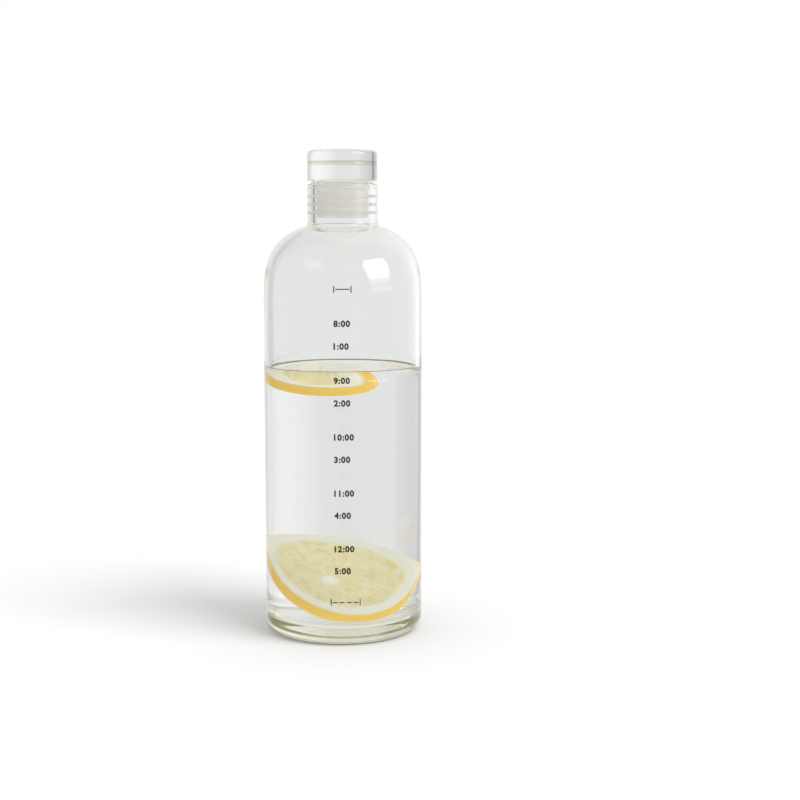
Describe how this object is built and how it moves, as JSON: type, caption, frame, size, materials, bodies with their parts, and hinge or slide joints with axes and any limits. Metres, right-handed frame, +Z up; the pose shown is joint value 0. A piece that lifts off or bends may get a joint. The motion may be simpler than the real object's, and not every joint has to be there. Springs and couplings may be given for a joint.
{
  "type": "water bottle",
  "caption": "Clear glass water bottle with a round body, domed shoulder and short neck, closed by a clear puck stopper on a ribbed translucent sleeve.",
  "frame": {"origin": "centre of the foot, on the surface that the bottle stands on", "axes": "+Z up along the bottle's axis, -Y towards the side that carries the printed scale"},
  "size_m": [0.079, 0.079, 0.2404],
  "materials": {
    "bottle_glass": "clear moulded glass, thick base with a faint green-grey tint",
    "stopper_glass": "clear solid pressed glass",
    "sleeve": "translucent off-white, satin",
    "print_ink": "black ink fired on the glass"
  },
  "bodies": {
    "bottle": {"bottle": "bottle_glass"},
    "sleeve": {"stopper_sleeve": "sleeve"},
    "head": {"stopper_head": "stopper_glass"}
  },
  "joints": [
    {"name": "stopper_lift", "type": "slide", "parent": "bottle", "child": "sleeve", "axis": [0, 0, 1], "range_m": [0, 0.06]},
    {"name": "stopper_twist", "type": "hinge", "parent": "sleeve", "child": "head", "pos_m": [0, 0, 0.2254], "axis": [0, 0, 1], "continuous": true}
  ]
}
